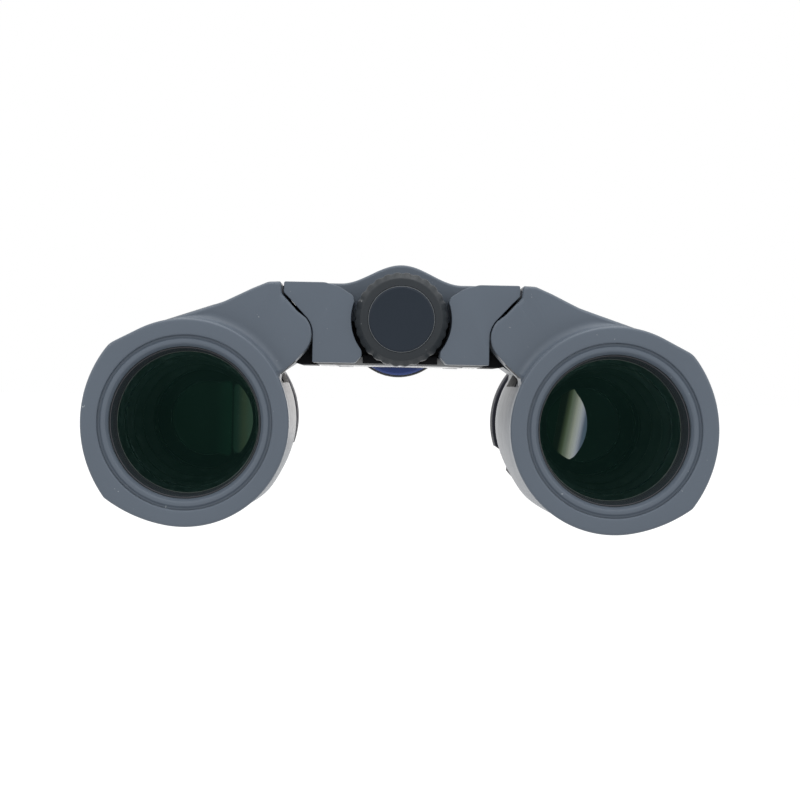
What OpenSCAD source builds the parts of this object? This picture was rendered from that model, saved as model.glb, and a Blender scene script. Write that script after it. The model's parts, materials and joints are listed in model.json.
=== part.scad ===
// Folding pocket binoculars: two 25 mm barrels on a bridge with two hinges.
// +X runs across the barrels, +Y from the objectives to the eyepieces, +Z is up.
// The origin is under the middle of the resting box, and both barrels are fully opened.
// A depth is a distance behind the front face of the objective flanges.
// A rise is a height above the barrel axes.

/* [Overall] */
// Length from the objective flanges to the lowered eyecups
overall_length = 105; // [104.8:0.1:106]
// Distance between the barrel axes, fully opened
barrel_spacing = 75; // [74.8:0.1:75.4]
// Distance between the two hinge axes
hinge_spacing = 40.2; // [40:0.1:40.4]
// Height of the hinge axes above the barrel axes
hinge_rise = 15.9; // [15.8:0.05:16]
// Height of the focus wheel's axis above the barrel axes
wheel_rise = 18.8; // [18.7:0.05:18.9]

/* [Barrels] */
// Radius of the objective flange
flange_r = 18.2; // [18:0.1:18.4]
// Radius of the flat outer edge of the flange
flange_edge_r = 21.4; // [21:0.1:22]
// How far inboard of the barrel axis that edge is centred
flange_edge_inset = 3.2; // [3:0.1:3.4]
// Radius of the edge below the barrel axis, where it bulges a little more
flange_low_edge_r = 22.4; // [22.2:0.1:22.6]
// Radius of the flange's underside between its lower corner and its lowest point
flange_under_r = 25.2; // [24.8:0.1:25.6]
// Outer radius of the barrel tube under the armour
tube_r = 15.2; // [15.1:0.05:15.4]
// Radius of the bore that the focusing carriage slides in
bore_r = 13.6; // [13.55:0.05:13.7]
// Clear radius of the objective
aperture_r = 12.5; // [12:0.1:12.6]
// Radius of the eyecup
eyecup_r = 17; // [16.8:0.1:17.2]
// Number of grip notches around an eyecup
eyecup_notches = 4; // [3:1:5]

/* [Hinges] */
// Radius of a hinge pin and of a hinge tube
pin_r = 2.2; // [2.1:0.05:2.2]
// Radial running clearance of every turning or sliding fit
running_gap = 0.05; // [0.03:0.01:0.06]
// Radius of the arm's nose around its hinge
nose_r = 4.35; // [4.25:0.05:4.35]
// Upward slope of the arm's top, in degrees
arm_slope = 18.9; // [18.5:0.1:19.2]
// Downward slope of the link inside the arm, in degrees
link_slope = 25; // [24:1:27]

/* [Bridge] */
// Height of the bridge's underside above the barrel axes
bridge_bottom = 10.7; // [10.6:0.05:10.75]
// Height of the bridge's shoulders above the barrel axes
bridge_shoulder = 25.4; // [25.3:0.1:25.6]
// Extra height of the hump over the focus spindle
hump_height = 3.5; // [3:0.1:3.6]
// Half the width of that hump
hump_half = 11; // [10.5:0.5:12]

/* [Wheels] */
// Radius of the focus wheel
focus_wheel_r = 8.3; // [8:0.1:8.4]
// Radius of the dioptre wheel
diopter_wheel_r = 10; // [9.5:0.1:10.2]

/* [Hidden] */
$fn = 64;
eps = 0.01;
seat_gap = 0.02;

armour_blue_grey = "#5f6870";
housing_grey = "#66707a";
black_metal = "#1b1c1f";
wheel_charcoal = "#2c2f35";
diopter_blue = "#3b4d83";
lens_green = "#0f3a2c";
steel = "#b9bcc0";
brass_yellow = "#b69a52";
prism_grey_green = "#9fb8b0";
eyecup_black = "#202329";

barrel_x = barrel_spacing / 2;
hinge_x = hinge_spacing / 2;
axis_height = flange_r;
hinge = [hinge_x, hinge_rise];
link_length = norm([barrel_x - hinge_x, hinge_rise]);

// Depths along a barrel
flange_back = 5;
arm_front = 4;
arm_back = 65;
armour_back = 91.2;
lobe_gap_front = 13.8;
lobe_gap_back = 46;
lobe_skin = 1;
knuckle_back = 53.5;
cavity_back = 63.6;
tube_front = 1;
objective_depth = 9.2;
baffle_depth = 15.5;
baffle_back = 17;
cage_front = 65.2;
cage_back = 85;
eyepiece_step = 91.2;
eyepiece_back = 103.2;

// Depths along the bridge
cover_front = 4.5;
housing_front = 16;
housing_back = 50;
housing_wall = 1.4;
boss_front = 14.3;
boss_back = 45.6;
chamber_front = 24;
chamber_back = 36;

// Radii about a hinge axis
boss_r = 4.4;
knuckle_r = 3.3;
mid_clearance_r = 5.1;
cover_clearance_r = 4.5;

// Half the width of the bridge's box
bridge_half = 15.1;
base_plate_top = 12.2;
chassis_top = 18.6;
chamber_half = 13.6;

// The focusing fork and the collars that hold it on its push rod
fork_front = 57.65;
fork_back = 58.95;
collar_gap = 0.15;
collar_t = 1.2;
collar_r = 2.4;
rod_r = 1.2;
rod_front = 27;
fork_slot_front = 53.6;
fork_slot_back = 62.8;

// Moves a shape to a depth-and-rise frame
module framed() translate([0, -overall_length / 2, axis_height]) children();

// A flat outline, drawn as it looks from the front, given thickness from one depth to another
module slab(front, back)
    framed() translate([0, back, 0]) rotate([90, 0, 0]) linear_extrude(back - front) children();

// A round bar along Y
module rod(r, front, back, centre = [0, 0])
    framed() translate([centre.x, front, centre.y]) rotate([-90, 0, 0]) cylinder(h = back - front, r = r);

// A ring or shell turned about an axis along Y, from points of [radius, depth]
module turned(points, centre = [0, 0])
    framed() translate([centre.x, 0, centre.y]) rotate([-90, 0, 0]) rotate_extrude() polygon(points);

// A plain ring along Y
module ring(outer, inner, front, back, centre = [0, 0])
    difference() {
        rod(outer, front, back, centre);
        rod(inner, front - eps, back + eps, centre);
    }

// A part that lies at a barrel's axis, on the right (+1) or mirrored to the left (-1)
module sided(side) mirror([side < 0 ? 1 : 0, 0, 0]) children();

barrel = [barrel_x, 0];
wheel = [0, wheel_rise];

// A lens with two domed faces, from its edge thickness and the rise of its domes
dome_steps = 5;
module biconvex(r, front, back, bulge)
    turned(concat(
        [for (i = [0:dome_steps]) [r * i / dome_steps, front - bulge * (1 - pow(i / dome_steps, 2))]],
        [for (i = [dome_steps:-1:0]) [r * i / dome_steps, back + bulge * (1 - pow(i / dome_steps, 2))]]
    ), barrel);

// ---- Outlines, drawn for the right side ----

// Where a straight line from the point p touches the flange's circle
function touch(p, turn) =
    let (a = atan2(p.y, p.x) + turn * acos(flange_r / norm(p))) flange_r * [cos(a), sin(a)];

// The flange: a circle with two corners on its outer side
module flange_outline() {
    corner_rise = 13.6;
    corner = [sqrt(pow(flange_edge_r, 2) - pow(corner_rise, 2)) - flange_edge_inset, corner_rise];
    under_turn = -80;
    under_tangent = flange_r * [cos(under_turn), sin(under_turn)];
    far = 2 * flange_r;
    translate(barrel) {
        circle(flange_r);
        intersection() {
            translate([-flange_edge_inset, 0]) circle(flange_edge_r);
            polygon([[0, 0], touch(corner, 1), corner, [far, corner_rise], [far, 0]]);
        }
        intersection() {
            translate([flange_r - flange_low_edge_r, 0]) circle(flange_low_edge_r);
            translate(under_tangent * (1 - flange_under_r / flange_r)) circle(flange_under_r);
            polygon([[0, 0], [far, 0], [far, -far], 2 * under_tangent]);
        }
    }
}

// The arm from the barrel to its hinge
arm_slope_length = 12.9;
arm_foot = barrel + flange_r * [sin(arm_slope), cos(arm_slope)];
arm_shoulder = arm_foot + arm_slope_length * [-cos(arm_slope), sin(arm_slope)];
arm_top = [barrel, arm_foot, arm_shoulder, hinge + [6.2, 7.9], hinge + [3.4, 9]];
module front_arm_outline() {
    polygon(concat(arm_top, [
        for (p = [
            [1.4, 9.2], [1, 8.8], [1, 7.1], [-1.7, 4], [-3, 3.1],
            [-3.05, -3.05], [-2.35, -3.95], [-1.65, -4.68], [1, -7.1], [1, -8.2]
        ]) hinge + p
    ]));
    translate(hinge) circle(nose_r);
}

// Behind its front lobe the arm is slimmer underneath, and steps back from the chassis's dust lip
arm_depth_below = 2.6;
module rear_arm_outline() {
    polygon(concat(arm_top, [for (p = [[1.9, 8.9], [1.7, 7], [-0.8, 4.3]]) hinge + p, hinge]));
    translate(hinge) circle(nose_r - 0.4);
    link_bar(arm_depth_below);
}

// The metal link inside the arm
module link_outline(half_width, r) {
    translate(hinge) circle(r);
    link_bar(half_width);
}
module link_bar(half_width)
    translate(hinge) rotate(-link_slope) translate([0, -half_width]) square([link_length, 2 * half_width]);

// The front cover beside the focus wheel
module front_cover_outline() {
    low = bridge_bottom + 0.3;
    high = bridge_shoulder - 0.3;
    wheel_clearance_r = focus_wheel_r + 0.55;
    difference() {
        polygon([
            [7.1, low + 1.5], [8.1, low], [hinge_x - 4.55, low],
            hinge + [-4.55, 0], hinge + [-2.9, 3.9], hinge + [-0.6, 6], hinge + [0.7, 7.3],
            [hinge_x + 0.65, high], [13.5, high], [11, high - 0.8], [8.5, high - 2.5], [7.1, high - 3.5]
        ]);
        translate(hinge) circle(cover_clearance_r);
        translate(wheel) circle(wheel_clearance_r);
    }
}

// The black lug round a hinge: a dust lip behind the gap above it, and a foot down to the base
module hinge_lug_outline() {
    lip = [
        [0.35, 8.9], [0.65, 7.25], [-0.55, 5.9], [-2.85, 3.8], [-4.8, 2.7], [0, 0],
        [-1.2, 4.2], [1.25, 7], [1.25, 8.9]
    ];
    foot = [[-5, 0], [-5, bridge_bottom - hinge_rise], [-2, bridge_bottom - hinge_rise], [0.4, -4.3], [0, 0]];
    translate(hinge) {
        polygon(lip);
        polygon(foot);
        circle(boss_r);
    }
}

// The hump's smooth rise over the spindle
function hump(x) = hump_height * (0.5 + 0.5 * cos(180 * min(1, abs(x) / hump_half)));
hump_step = 1;

function mirrored(points) = [for (i = [len(points) - 1:-1:0]) [-points[i].x, points[i].y]];

// The housing over the bridge
module housing_outline() {
    right_edge = [
        [hinge_x + 0.3, bridge_shoulder], hinge + [0.6, 7.3], hinge + [-0.6, 6], hinge + [-2.9, 3.9],
        [bridge_half, chassis_top]
    ];
    polygon(concat(
        [for (x = [-hump_half:hump_step:hump_half]) [x, bridge_shoulder + hump(x)]],
        right_edge, mirrored(right_edge)
    ));
}
module housing_hollow_outline() {
    low_side = [[chamber_half, bridge_shoulder - 2 * housing_wall], [chamber_half, chassis_top - eps]];
    polygon(concat(
        [for (x = [-hump_half:2 * hump_step:hump_half]) [x, bridge_shoulder + hump(x) - housing_wall]],
        low_side, mirrored(low_side)
    ));
}

// ---- Bridge ----

module bridge_chassis() color(black_metal) {
    wall_front = housing_front + housing_wall;
    front_wall_back = 20;
    rear_wall_front = 46.2;
    cavity_back_wall = housing_back - 1.3;
    web_low = 14;
    web_high = 18.2;
    slot_low = 14.2;
    slot_high = 17.6;
    upper_wall_top = 22.4;
    difference() {
        union() {
            slab(wall_front, housing_back)
                translate([-bridge_half, base_plate_top])
                square([2 * bridge_half, chassis_top - base_plate_top]);
            for (side = [-1, 1]) sided(side) {
                rod(boss_r, boss_front, boss_back, hinge);
                slab(housing_front + seat_gap, boss_back) hinge_lug_outline();
                slab(wall_front, boss_back) translate([chamber_half, web_low])
                    square([hinge_x - chamber_half, web_high - web_low]);
            }
            for (wall = [[wall_front, front_wall_back], [rear_wall_front, cavity_back_wall]])
                slab(wall[0], wall[1]) translate([-bridge_half + 3, base_plate_top])
                    square([2 * bridge_half - 6, upper_wall_top - base_plate_top]);
            rod(diopter_boss_r, cavity_back_wall - 1, diopter_boss_back, wheel);
        }
        slab(front_wall_back, rear_wall_front) translate([-chamber_half, base_plate_top - eps])
            square([2 * chamber_half, chassis_top - base_plate_top + 2 * eps]);
        slab(chamber_front, chamber_back) translate([-hinge_x, slot_low])
            square([2 * hinge_x, slot_high - slot_low]);
        for (side = [-1, 1]) sided(side) {
            rod(knuckle_r, chamber_front, chamber_back, hinge);
            rod(pin_r, boss_front - eps, front_pin_back, hinge);
            rod(pin_r, chamber_back - eps, boss_back + eps, hinge);
            for (d = base_screw_depths) framed() translate([base_screw_x, d, base_plate_top - eps])
                cylinder(h = base_screw_length, r = base_screw_r);
        }
        rod(bush_r, wall_front - eps, front_wall_back + eps, wheel);
        rod(rear_bush_r, rear_wall_front - eps, cavity_back_wall - 1, wheel);
        rod(diopter_screw_r, diopter_boss_back - 6, diopter_boss_back + eps, wheel);
    }
}

module bridge_housing() color(housing_grey) {
    rear_wall = 1.3;
    difference() {
        slab(housing_front, housing_back) housing_outline();
        slab(housing_front + housing_wall, housing_back - rear_wall) housing_hollow_outline();
        rod(bush_r, housing_front - eps, housing_back - rear_wall, wheel);
        rod(diopter_boss_r, housing_back - 2 * rear_wall, housing_back + eps, wheel);
        for (side = [-1, 1]) sided(side)
            rod(boss_r + running_gap, housing_front - eps, housing_back + eps, hinge);
    }
}

module bridge_base_plate() color(housing_grey)
    difference() {
        slab(housing_front, housing_back) translate([-bridge_half, bridge_bottom])
            square([2 * bridge_half, base_plate_top - bridge_bottom]);
        for (side = [-1, 1], d = base_screw_depths) framed()
            translate([side * base_screw_x, d, bridge_bottom - eps]) {
                cylinder(h = base_screw_head_t + eps, r = base_screw_head_r);
                cylinder(h = base_plate_top - bridge_bottom + 2 * eps, r = base_screw_r);
            }
    }

module front_cover(side) color(housing_grey) sided(side)
    difference() {
        slab(cover_front, housing_front) front_cover_outline();
        slab(cover_front + 2 * housing_wall, housing_front + eps)
            translate([10.2, bridge_bottom + 1.7]) square([3.4, 10.4]);
    }

base_screw_x = 10;
base_screw_depths = [18.7, 48];
base_screw_r = 0.8;
base_screw_head_r = 1.6;
base_screw_head_t = 0.7;
base_screw_length = 4.5;
diopter_screw_r = 1.2;
diopter_screw_head_r = 4.6;
diopter_boss_r = 3.4;
diopter_boss_back = 57;
diopter_head_t = 1;
module bridge_screws() color(steel) {
    for (side = [-1, 1], d = base_screw_depths) framed()
        translate([side * base_screw_x, d, bridge_bottom]) {
            cylinder(h = base_screw_head_t, r = base_screw_head_r);
            cylinder(h = base_screw_length, r = base_screw_r);
        }
    rod(diopter_screw_head_r, diopter_boss_back, diopter_boss_back + diopter_head_t, wheel);
    rod(diopter_screw_r, diopter_boss_back - 5, diopter_boss_back + eps, wheel);
}

front_pin_back = 22;
module front_hinge_pin(side) color(steel) sided(side)
    rod(pin_r, arm_front + 1.6, front_pin_back, hinge);

module rear_hinge_tube(side) color(steel) sided(side)
    ring(pin_r, rod_r + running_gap, chamber_back + 1, knuckle_back, hinge);

module hinge_washers() color(brass_yellow) {
    washer_r = 3.9;
    face_gap = 0.1;
    for (side = [-1, 1]) sided(side) {
        ring(washer_r, pin_r, lobe_gap_front + face_gap, boss_front, hinge);
        ring(washer_r, pin_r, boss_back, lobe_gap_back - face_gap, hinge);
    }
}

bush_r = 3;
rear_bush_r = 2.6;
spindle_r = 1.5;
module spindle_bushes() color(brass_yellow) {
    ring(bush_r, spindle_r + running_gap, wheel_back + 0.4, 20, wheel);
    ring(rear_bush_r, spindle_r + running_gap, 46.2, 47.7, wheel);
}

// ---- Focus wheel ----

wheel_front = 3.2;
wheel_back = 13.7;
wheel_core_r = 6.5;
wheel_cap_r = 5.75;
module focus_wheel_hub() color(black_metal)
    difference() {
        rod(wheel_core_r, wheel_front + 1, wheel_back, wheel);
        rod(spindle_r, wheel_front, wheel_back + eps, wheel);
    }
module focus_wheel_grip() color(wheel_charcoal)
    turned([
        [wheel_cap_r, wheel_front], [focus_wheel_r - 1.1, wheel_front + 0.2],
        [focus_wheel_r, wheel_front + 1.8], [focus_wheel_r, wheel_back - 1],
        [focus_wheel_r - 0.5, wheel_back], [wheel_core_r, wheel_back],
        [wheel_core_r, wheel_front + 1], [wheel_cap_r, wheel_front + 1]
    ], wheel);
module focus_wheel_cap() color(wheel_charcoal)
    rod(wheel_cap_r, wheel_front - 0.3, wheel_front + 1, wheel);
module focus_spindle() color(steel)
    rod(spindle_r, wheel_front + 1, 47, wheel);

// ---- Crosshead and push rods ----

crosshead_front = 28.2;
crosshead_back = 31.8;
nut_r = 2.6;
module crosshead() color(black_metal)
    difference() {
        slab(crosshead_front, crosshead_back) {
            translate([-hinge_x, hinge_rise - 1.4]) square([hinge_spacing, 2.8]);
            translate(wheel) circle(nut_r + 1.3);
            for (side = [-1, 1]) translate([side * hinge_x, hinge_rise]) circle(rod_r + 1.5);
        }
        rod(nut_r, crosshead_front - eps, crosshead_back + eps, wheel);
        rod(rod_r + running_gap, crosshead_front - eps, crosshead_back + eps, hinge);
        rod(rod_r, crosshead_front - eps, crosshead_back + eps, [-hinge_x, hinge_rise]);
    }
module crosshead_nut() color(brass_yellow)
    ring(nut_r, spindle_r + running_gap, crosshead_front, crosshead_back, wheel);
module push_rod(side) color(steel) sided(side) {
    rod(rod_r, rod_front, fork_back + collar_gap + collar_t, hinge);
    rod(collar_r, fork_front - collar_gap - collar_t, fork_front - collar_gap, hinge);
    rod(collar_r, fork_back + collar_gap, fork_back + collar_gap + collar_t, hinge);
}

// ---- Dioptre wheel ----

diopter_front = 50.4;
diopter_face_back = 52.2;
diopter_back = 58.4;
module diopter_ring() color(diopter_blue)
    ring(diopter_wheel_r - 0.4, diopter_boss_r + running_gap, diopter_front, diopter_face_back, wheel);
module diopter_grip() color(black_metal)
    difference() {
        rod(diopter_wheel_r, diopter_face_back, diopter_back, wheel);
        rod(diopter_boss_r + running_gap, diopter_face_back - eps, diopter_back, wheel);
        rod(diopter_screw_head_r + 0.2, diopter_boss_back - 0.1, diopter_back + eps, wheel);
    }

// ---- Barrels ----

panel_t = 0.9;
panel_front = 8;
panel_back = 60;
module panel_outline(proud)
    translate(arm_shoulder) rotate(-arm_slope) translate([0.6, -panel_t])
    square([arm_slope_length - 1.6, panel_t + proud]);

// The channel that the focusing fork reaches through
module fork_channel(half_width, front, back)
    slab(front, back) link_bar(half_width);
fork_channel_half = 1.8;

module armour(side) color(armour_blue_grey) sided(side)
    difference() {
        union() {
            slab(0, flange_back) flange_outline();
            slab(arm_front, lobe_gap_front) front_arm_outline();
            slab(lobe_gap_front, arm_back) rear_arm_outline();
            turned([
                [0, arm_front], [flange_r - 1, arm_front], [flange_r - 0.6, 12], [flange_r, 25],
                [flange_r - 0.1, 45], [flange_r - 0.5, 60], [flange_r - 1.1, 75],
                [flange_r - 1.8, armour_back - 1], [flange_r - 2.3, armour_back], [0, armour_back]
            ], barrel);
        }
        rod(tube_r, -eps, armour_back + eps, barrel);
        rod(mid_clearance_r, lobe_gap_front, lobe_gap_back, hinge);
        slab(arm_front + lobe_skin, lobe_gap_front + eps) link_outline(2.2, knuckle_r);
        slab(lobe_gap_back - eps, knuckle_back) link_outline(2.2, knuckle_r);
        rod(knuckle_r, knuckle_back - eps, arm_back + eps, hinge);
        fork_channel(fork_channel_half, fork_slot_front, fork_slot_back);
        slab(panel_front, panel_back) panel_outline(1);
    }

module grip_panel(side) color(black_metal) sided(side)
    slab(panel_front, panel_back) panel_outline(0.15);

ring_socket_r = aperture_r + 2;
lens_seat_r = aperture_r + 0.7;
module barrel_tube(side) color(black_metal) sided(side) {
    difference() {
        union() {
            rod(tube_r, tube_front, armour_back - 0.2, barrel);
            slab(arm_front + lobe_skin, lobe_gap_front) link_outline(2.2, knuckle_r);
            slab(lobe_gap_back, knuckle_back) link_outline(2.2, knuckle_r);
        }
        rod(pin_r + running_gap, arm_front, lobe_gap_front + eps, hinge);
        rod(pin_r + running_gap, lobe_gap_back - eps, knuckle_back + eps, hinge);
        rod(ring_socket_r, tube_front - eps, objective_depth, barrel);
        rod(lens_seat_r, objective_depth - eps, baffle_depth, barrel);
        rod(aperture_r - 0.7, baffle_depth - eps, baffle_back + eps, barrel);
        rod(bore_r, baffle_back, armour_back, barrel);
        fork_channel(fork_channel_half, fork_slot_front, fork_slot_back);
    }
}

module hinge_cap(side) color(black_metal) sided(side)
    rod(knuckle_r, cavity_back, arm_back, hinge);

module objective_ring(side) color(armour_blue_grey) sided(side) {
    outer = ring_socket_r - seat_gap;
    turned([
        [outer, 1], [outer - 0.2, 0.5], [outer - 0.5, 0.3], [outer - 0.8, 0.6], [outer - 1, 1.6],
        [outer - 1.3, 4], [outer - 1.6, 4.2], [aperture_r, 8.2], [aperture_r, objective_depth],
        [outer, objective_depth]
    ], barrel);
}

module objective_front_lens(side) color(lens_green) sided(side)
    biconvex(lens_seat_r - seat_gap, 10.4, 12, 1.2);
module objective_rear_lens(side) color(lens_green) sided(side)
    biconvex(lens_seat_r - seat_gap, 14.4, 15.3, 0.9);

// ---- Focusing carriages ----

carriage_front = 55;
carriage_back = 62;
focus_lens_r = 10.6;
guide_wall = 0.9;
module carriage(side, outer) color(black_metal) sided(side)
    difference() {
        union() {
            rod(outer, carriage_front, carriage_back, barrel);
            fork_channel(fork_channel_half - 0.3, fork_front, fork_back);
            rod(collar_r + 0.5, fork_front, fork_back, hinge);
        }
        rod(focus_lens_r, carriage_front - eps, carriage_back - 2, barrel);
        rod(focus_lens_r - 0.8, carriage_front, carriage_back + eps, barrel);
        rod(rod_r + 2 * running_gap, fork_front - eps, fork_back + eps, hinge);
    }
module left_lens_carriage() carriage(-1, bore_r - running_gap);
module right_lens_carriage() carriage(1, bore_r - guide_wall - 2 * running_gap);
module right_carriage_guide() color(brass_yellow)
    difference() {
        ring(bore_r - running_gap, bore_r - guide_wall - running_gap,
            carriage_front - 1, carriage_back + 1, barrel);
        fork_channel(fork_channel_half, fork_front - 1.5, fork_back + 1.5);
    }
module focus_lens(side) color(lens_green) sided(side)
    biconvex(focus_lens_r - seat_gap, 57, 59, 0.8);

// ---- Prisms ----

prism_half = 8;
prism_front = 66.4;
prism_back = 84;

// A block whose outline of [depth, rise] runs across the barrel
module across(half) framed() translate([barrel_x - half, 0, 0]) rotate([90, 0, 90])
    linear_extrude(2 * half) children();

module prism_cage(side) color(black_metal) sided(side)
    difference() {
        rod(bore_r - seat_gap, cage_front, cage_back, barrel);
        across(prism_half) translate([prism_front, -prism_half])
            square([cage_back - prism_front + eps, 2 * prism_half]);
        rod(7.4, cage_front - eps, prism_front + eps, barrel);
    }
module half_prism(side) color(prism_grey_green) sided(side)
    across(prism_half) polygon([
        [prism_front, -prism_half], [prism_front, prism_half], [prism_front + 4, prism_half],
        [prism_front + 7.4, 1], [prism_front + 2.4, -prism_half]
    ]);
module roof_prism(side) color(prism_grey_green) sided(side)
    across(prism_half) polygon([
        [prism_front + 3.4, -prism_half], [prism_back, -prism_half], [prism_back, prism_half],
        [prism_front + 5, prism_half], [prism_front + 8.4, 1]
    ]);

// ---- Eyepieces ----

eyepiece_r = 13;
field_lens_r = 10.6;
eye_lens_r = 9.6;
module eyepiece_tube(side) color(black_metal) sided(side)
    turned([
        [field_lens_r, cage_back + 0.2], [bore_r - seat_gap, cage_back + 0.2],
        [bore_r - seat_gap, eyepiece_step],
        [eyepiece_r, eyepiece_step], [eyepiece_r, eyepiece_back], [eye_lens_r, eyepiece_back],
        [eye_lens_r, 97], [field_lens_r, 97]
    ], barrel);
module field_lens(side) color(lens_green) sided(side)
    biconvex(field_lens_r - seat_gap, 88.5, 91, 1.4);
module eye_lens(side) color(lens_green) sided(side)
    biconvex(eye_lens_r - seat_gap, 98.5, 100.5, 1.2);

guide_r = 13.9;
eyecup_front = 92;
eyecup_core_r = 15.2;
module eyecup_guide(side) color(black_metal) sided(side)
    ring(guide_r, eyepiece_r + running_gap, eyecup_front + 0.2, eyepiece_back, barrel);
module eyecup_core(side) color(black_metal) sided(side)
    ring(eyecup_core_r, guide_r + running_gap, eyecup_front + 0.4, overall_length - lip_t, barrel);

lip_t = 1.4;
lip_r = 10.2;
band_front = 101;
band_r = eyecup_r - 1.3;
notch_r = 4.7;
notch_depth = 1.3;
first_notch = 208;
module eyecup_rubber(side) color(eyecup_black) sided(side)
    difference() {
        turned([
            [eyecup_core_r, eyecup_front], [eyecup_r - 0.3, eyecup_front], [eyecup_r, eyecup_front + 0.4],
            [eyecup_r, band_front - 0.5], [eyecup_r - 0.5, band_front], [band_r, band_front],
            [band_r, overall_length - 0.9], [band_r - 0.9, overall_length],
            [lip_r + 0.5, overall_length], [lip_r, overall_length - 0.5],
            [lip_r, overall_length - lip_t], [eyecup_core_r, overall_length - lip_t]
        ], barrel);
        for (i = [0:eyecup_notches - 1]) {
            a = first_notch + i * 360 / eyecup_notches;
            reach = eyecup_r - notch_depth + notch_r;
            rod(notch_r, eyecup_front - eps, band_front, barrel + reach * [cos(a), sin(a)]);
        }
    }

bridge_chassis();
bridge_housing();
bridge_base_plate();
front_cover(-1);  // left_front_cover
front_cover(1);  // right_front_cover
bridge_screws();
front_hinge_pin(-1);  // left_front_hinge_pin
front_hinge_pin(1);  // right_front_hinge_pin
rear_hinge_tube(-1);  // left_rear_hinge_tube
rear_hinge_tube(1);  // right_rear_hinge_tube
hinge_washers();
spindle_bushes();
focus_wheel_hub();
focus_wheel_grip();
focus_wheel_cap();
focus_spindle();
crosshead();
crosshead_nut();
push_rod(-1);  // left_push_rod
push_rod(1);  // right_push_rod
diopter_ring();
diopter_grip();
armour(-1);  // left_armour
armour(1);  // right_armour
grip_panel(-1);  // left_grip_panel
grip_panel(1);  // right_grip_panel
barrel_tube(-1);  // left_barrel_tube
barrel_tube(1);  // right_barrel_tube
hinge_cap(-1);  // left_hinge_cap
hinge_cap(1);  // right_hinge_cap
objective_ring(-1);  // left_objective_ring
objective_ring(1);  // right_objective_ring
objective_front_lens(-1);  // left_objective_front_lens
objective_front_lens(1);  // right_objective_front_lens
objective_rear_lens(-1);  // left_objective_rear_lens
objective_rear_lens(1);  // right_objective_rear_lens
left_lens_carriage();
right_lens_carriage();
right_carriage_guide();
focus_lens(-1);  // left_focus_lens
focus_lens(1);  // right_focus_lens
prism_cage(-1);  // left_prism_cage
prism_cage(1);  // right_prism_cage
half_prism(-1);  // left_half_prism
half_prism(1);  // right_half_prism
roof_prism(-1);  // left_roof_prism
roof_prism(1);  // right_roof_prism
eyepiece_tube(-1);  // left_eyepiece_tube
eyepiece_tube(1);  // right_eyepiece_tube
field_lens(-1);  // left_field_lens
field_lens(1);  // right_field_lens
eye_lens(-1);  // left_eye_lens
eye_lens(1);  // right_eye_lens
eyecup_guide(-1);  // left_eyecup_guide
eyecup_guide(1);  // right_eyecup_guide
eyecup_core(-1);  // left_eyecup_core
eyecup_core(1);  // right_eyecup_core
eyecup_rubber(-1);  // left_eyecup_rubber
eyecup_rubber(1);  // right_eyecup_rubber
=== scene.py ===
import json
import math

import bmesh
import bpy
import numpy as np
from mathutils import Matrix, Vector


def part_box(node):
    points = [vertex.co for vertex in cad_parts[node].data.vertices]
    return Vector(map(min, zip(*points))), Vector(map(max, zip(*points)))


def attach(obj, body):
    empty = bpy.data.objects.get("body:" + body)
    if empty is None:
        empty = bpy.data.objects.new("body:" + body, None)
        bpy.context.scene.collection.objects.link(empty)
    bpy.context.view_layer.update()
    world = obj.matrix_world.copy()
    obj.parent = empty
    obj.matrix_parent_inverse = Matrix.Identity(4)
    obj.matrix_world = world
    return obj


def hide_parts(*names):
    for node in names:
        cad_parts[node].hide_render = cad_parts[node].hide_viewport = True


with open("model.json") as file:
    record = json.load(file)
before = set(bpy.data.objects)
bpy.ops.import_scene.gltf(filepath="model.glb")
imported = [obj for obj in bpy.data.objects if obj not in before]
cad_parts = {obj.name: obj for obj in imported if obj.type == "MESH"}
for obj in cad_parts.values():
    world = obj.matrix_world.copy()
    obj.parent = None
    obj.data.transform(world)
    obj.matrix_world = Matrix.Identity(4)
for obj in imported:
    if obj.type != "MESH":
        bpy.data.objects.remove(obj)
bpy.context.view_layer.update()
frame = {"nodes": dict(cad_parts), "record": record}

# Folding pocket binoculars. Shapes are worked out in millimetres as (across, depth, rise):
# across is X, depth is measured rearward from the objective flanges, rise is above the barrel axes.

MM = 0.001
TURN = 2 * math.pi

# ---------------------------------------------------------------- the frame's own sizes


def span(node):
    """Lowest and highest corner of a CAD node, in millimetres of the row frame."""
    low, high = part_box(node)
    return np.array(low) / MM, np.array(high) / MM


ring_low, ring_high = span("right_objective_ring")
BARREL_X = float(ring_low[0] + ring_high[0]) / 2
AXIS_Z = float(ring_low[2] + ring_high[2]) / 2
FRONT_Y = float(span("right_armour")[0][1])
JOINTS = {j["name"]: j for j in frame["record"]["behaviour"]["joints"]}
FOLD = JOINTS["right_barrel_fold"]["pos_m"]
HINGE_X, HINGE_RISE = FOLD[0] / MM, FOLD[2] / MM - AXIS_Z
WHEEL_RISE = JOINTS["focus_wheel_turn"]["pos_m"][2] / MM - AXIS_Z
BARREL = (BARREL_X, 0.0)
HINGE = (HINGE_X, HINGE_RISE)
WHEEL = (0.0, WHEEL_RISE)
SIDES = ((1, "right"), (-1, "left"))


def depths(node):
    """Front and back depth of a CAD node."""
    low, high = span(node)
    return float(low[1]) - FRONT_Y, float(high[1]) - FRONT_Y


# ---------------------------------------------------------------- outlines


def arc(centre, radius, start, stop, steps=16):
    """Points of an arc between two angles in degrees."""
    angles = np.radians(np.linspace(start, stop, steps + 1))
    return [(centre[0] + radius * math.cos(a), centre[1] + radius * math.sin(a)) for a in angles]


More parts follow.
